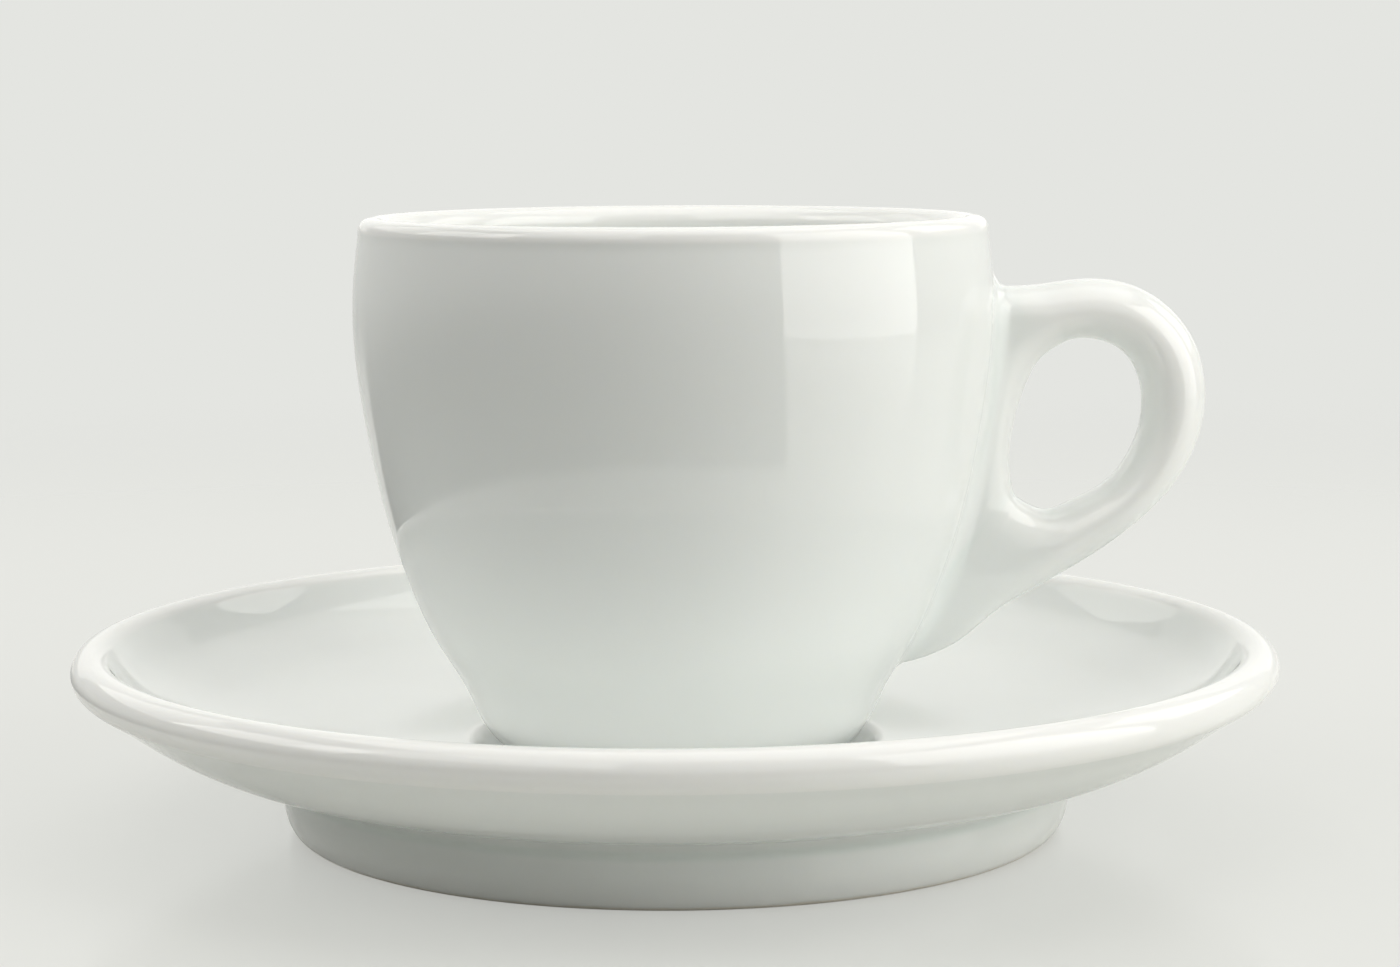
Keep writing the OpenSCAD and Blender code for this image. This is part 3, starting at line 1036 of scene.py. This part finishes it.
@dataclass
class Studio:
    """The pale table top, the soft panels, the pale air round them and the camera.

    Azimuths run in degrees from the camera's side of the cup towards its handle. The fades are
    distances from the cup in metres, where the table starts to vanish and where it is gone.
    """

    camera_side: float = -0.25 * MM
    camera_distance: float = 318.47 * MM
    camera_height: float = 72.55 * MM
    camera_pitch: float = 0.12
    camera_yaw: float = 0.00875
    camera_roll: float = -0.0047
    camera_span: Span = (0.02, 20.0)
    focal_px: float = 3197.0
    sensor_mm: float = 36.0
    air: Colour = colour_from_screen(228, 229, 225)
    air_glow: float = 0.1
    air_rise: float = 6.0
    table: Colour = colour_from_screen(228, 229, 225)
    table_own: Colour = colour_from_screen(225, 226, 222)
    table_gloss_roughness: float = 0.17
    table_ior: float = 1.5
    table_own_share: float = 0.55
    mirrored_own_share: float = 0.2
    table_reach: float = 2.4
    table_sides: int = 96
    seen_fade: Span = (0.2, 0.48)
    mirrored_fade: Span = (0.25, 1.0)
    dark_azimuth: float = -52.0
    dark_spread: float = 89.0
    dark_edge: float = 0.02
    dark_reach: Span = (0.105, 0.115)
    panels: list[SoftPanel] = field(default_factory=lambda: [
        SoftPanel("panel_right_low", Stand.UPRIGHT, 64.5, 0.5, 0.0, 0.15, 27.5, 2.1),
        SoftPanel("panel_right_high", Stand.UPRIGHT, 64.5, 0.5, 0.15, 0.65, 27.5, 2.45),
        SoftPanel("panel_back_right", Stand.UPRIGHT, 118.0, 0.8, 0.25, 0.75, 16.0, 1.3),
        SoftPanel("panel_back", Stand.UPRIGHT, 180.0, 1.2, 0.1, 0.7, 33.0, 0.34),
        SoftPanel("panel_back_left", Stand.UPRIGHT, -125.0, 0.9, 0.3, 0.8, 22.0, 0.9),
        SoftPanel("panel_left", Stand.UPRIGHT, -85.0, 0.9, 0.35, 0.9, 22.0, 2.1),
        SoftPanel("panel_front_left", Stand.UPRIGHT, -44.0, 0.6, 0.35, 1.0, 33.0, 1.25),
        SoftPanel("panel_top", Stand.OVERHEAD, 0.0, 0.0, 0.0, 0.7, 0.8, 1.15),
        SoftPanel("panel_top_back", Stand.OVERHEAD, 180.0, 0.8, 0.0, 0.7, 0.8, 0.35),
    ])

    def set_camera(self) -> None:
        """Places the camera at the photograph's angle."""
        data = bpy.data.cameras.new("camera")
        data.sensor_width = self.sensor_mm
        data.lens = self.sensor_mm * self.focal_px / PHOTO_WIDTH_PX
        data.clip_start, data.clip_end = self.camera_span
        camera = bpy.data.objects.new("camera", data)
        camera.matrix_world = (
            Matrix.Translation((self.camera_side, -self.camera_distance, self.camera_height))
            @ Matrix.Rotation(-self.camera_yaw, 4, "Z")
            @ Matrix.Rotation(math.pi / 2 - self.camera_pitch, 4, "X")
            @ Matrix.Rotation(self.camera_roll, 4, "Z")
        )
        bpy.context.scene.collection.objects.link(camera)
        bpy.context.scene.camera = camera

    def lay_table(self) -> None:
        """Lays the pale table top, which fades into the air far from the cup."""
        bm = bmesh.new()
        sides, reach = self.table_sides, self.table_reach
        bmesh.ops.create_circle(bm, cap_ends=True, segments=sides, radius=reach)
        mesh = bpy.data.meshes.new("table_top")
        bm.to_mesh(mesh)
        bm.free()
        table = bpy.data.objects.new("table_top", mesh)
        bpy.context.scene.collection.objects.link(table)
        mesh.materials.append(self._table_finish())

    def _table_finish(self) -> bpy.types.Material:
        """The table top's pale gloss finish.

        In front of the cup, and past the edge of the saucer, the eye sees it, but it throws no
        light back. So the front of the cup mirrors a dark half of the room.

        Returns:
            The material.
        """
        material = bpy.data.materials.new("pale_table")
        material.use_nodes = True
        sheet = NodeSheet(material.node_tree)
        place = sheet.node("ShaderNodeTexCoord").outputs["Object"]
        length = sheet.node("ShaderNodeVectorMath", {"operation": "LENGTH"}, {0: place})
        reach = Value(sheet, length.outputs["Value"])
        way = sheet.node("ShaderNodeVectorMath", {"operation": "NORMALIZE"}, {0: place})
        turn = math.radians(self.dark_azimuth)
        towards = (math.sin(turn), -math.cos(turn), 0)
        sockets = {0: way.outputs[0], 1: towards}
        facing = sheet.node("ShaderNodeVectorMath", {"operation": "DOT_PRODUCT"}, sockets)
        side, soft = math.cos(math.radians(self.dark_spread)), self.dark_edge
        dark = Value(sheet, facing.outputs["Value"]).step(side - soft, side + soft)
        dark = dark * reach.step(*self.dark_reach)
        path = sheet.node("ShaderNodeLightPath")
        seen = Value(sheet, path.outputs["Is Camera Ray"])
        seen_share = seen * (1 - reach.step(*self.seen_fade))
        shown = seen_share + (1 - seen) * (1 - reach.step(*self.mirrored_fade)) * (1 - dark)
        top = sheet.node("ShaderNodeBsdfPrincipled", {}, {
            "Base Color": (*self.table, 1),
            "Roughness": self.table_gloss_roughness,
            "IOR": self.table_ior,
        })
        own = sheet.node("ShaderNodeEmission", {}, {"Color": (*self.table_own, 1), "Strength": 1.0})
        mirrored = self._mirrored(sheet, path)
        share = seen * self.table_own_share + mirrored * self.mirrored_own_share
        pale = self._mixed(sheet, share, top, own)
        mixed = self._mixed(sheet, shown, sheet.node("ShaderNodeBsdfTransparent"), pale)
        sheet.node("ShaderNodeOutputMaterial", {}, {"Surface": mixed.outputs[0]})
        return material

    @staticmethod
    def _mixed(
        sheet: NodeSheet, share: Value, plain: bpy.types.Node, full: bpy.types.Node
    ) -> bpy.types.Node:
        """Mixes two shaders.

        Args:
            sheet: The nodes.
            share: How much of the second shader shows.
            plain: The first shader.
            full: The second shader.

        Returns:
            The mix.
        """
        sockets = {0: share, 1: plain.outputs[0], 2: full.outputs[0]}
        return sheet.node("ShaderNodeMixShader", {}, sockets)

    @staticmethod
    def _mirrored(sheet: NodeSheet, path: bpy.types.Node) -> Value:
        """1 for a ray that has come by a gloss reflection or through something clear.

        Args:
            sheet: The nodes.
            path: The Light Path node.

        Returns:
            The share.
        """
        through = Value(sheet, path.outputs["Is Transmission Ray"])
        return Value(sheet, path.outputs["Is Glossy Ray"]) + through

    def fill_air(self) -> None:
        """Gives the world a pale colour to the eye and a weak light.

        Reflections show the pale colour too, but for the dark half of the room before the cup.
        """
        world = bpy.data.worlds.new("studio_air")
        bpy.context.scene.world = world
        world.use_nodes = True
        sheet = NodeSheet(world.node_tree)
        path = sheet.node("ShaderNodeLightPath")
        way = sheet.node("ShaderNodeTexCoord").outputs["Generated"]
        axes = sheet.node("ShaderNodeSeparateXYZ", {}, {0: way})
        back, up = Value(sheet, axes.outputs[1]), Value(sheet, axes.outputs[2])
        pale = (up * self.air_rise + back).step(-1.0, 1.0)
        shown = Value(sheet, path.outputs["Is Camera Ray"]) + self._mirrored(sheet, path) * pale
        lighting, backdrop = (
            sheet.node("ShaderNodeBackground", {}, {"Color": (*self.air, 1), "Strength": strength})
            for strength in (self.air_glow, 1.0)
        )
        mixed = self._mixed(sheet, shown, lighting, backdrop)
        sheet.node("ShaderNodeOutputWorld", {}, {"Surface": mixed.outputs[0]})

    def set_up(self) -> None:
        """Sets the whole studio up."""
        bpy.context.scene.view_settings.view_transform = "Standard"
        self.set_camera()
        self.lay_table()
        self.fill_air()
        for panel in self.panels:
            panel.hang()


def dress(piece: bpy.types.Object, body: str, node: str, finish: PorcelainGlaze) -> None:
    """Glazes a piece and lets it stand for its solid.

    Args:
        piece: The piece.
        body: The body that it moves with.
        node: The solid that it stands for.
        finish: Its glaze.
    """
    piece.data.materials.append(finish.make())
    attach(piece, body)
    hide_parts(node)
    log.info("%s: %d faces on %s", piece.name, len(piece.data.polygons), body)


def main() -> None:
    """Builds the studio and the pieces, and logs how many faces each piece has."""
    logging.basicConfig(level=logging.INFO)
    Studio().set_up()
    rim_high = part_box("saucer")[1]
    cup_low, cup_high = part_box("cup_body")
    ear_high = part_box("cup_handle")[1]
    saucer = Saucer(radius=rim_high.x / MM, height=rim_high.z / MM)
    cup = CupBody(
        belly_radius=cup_high.x / MM,
        height=(cup_high.z - cup_low.z) / MM,
        stands_at=cup_low.z / MM,
    )
    handle = EarHandle(cup=cup, reach=ear_high.x / MM, top=cup.height - EAR_BELOW_LIP)
    saucer_glaze = PorcelainGlaze(
        "saucer_porcelain",
        foot_inner=(saucer.face_inner - SAUCER_WIPED_INSIDE) * MM,
    )
    cup_glaze = PorcelainGlaze(
        "cup_porcelain",
        foot_height=cup.stands_at * MM,
        foot_inner=(cup.foot_radius - cup.foot_edge - cup.foot_face - CUP_WIPED_INSIDE) * MM,
    )
    dress(saucer.build("glazed_saucer"), "saucer", "saucer", saucer_glaze)
    dress(cup.build("glazed_cup_body"), "cup", "cup_body", cup_glaze)
    dress(handle.build("glazed_cup_handle"), "cup", "cup_handle", cup_glaze)


if __name__ == "__main__":
    main()
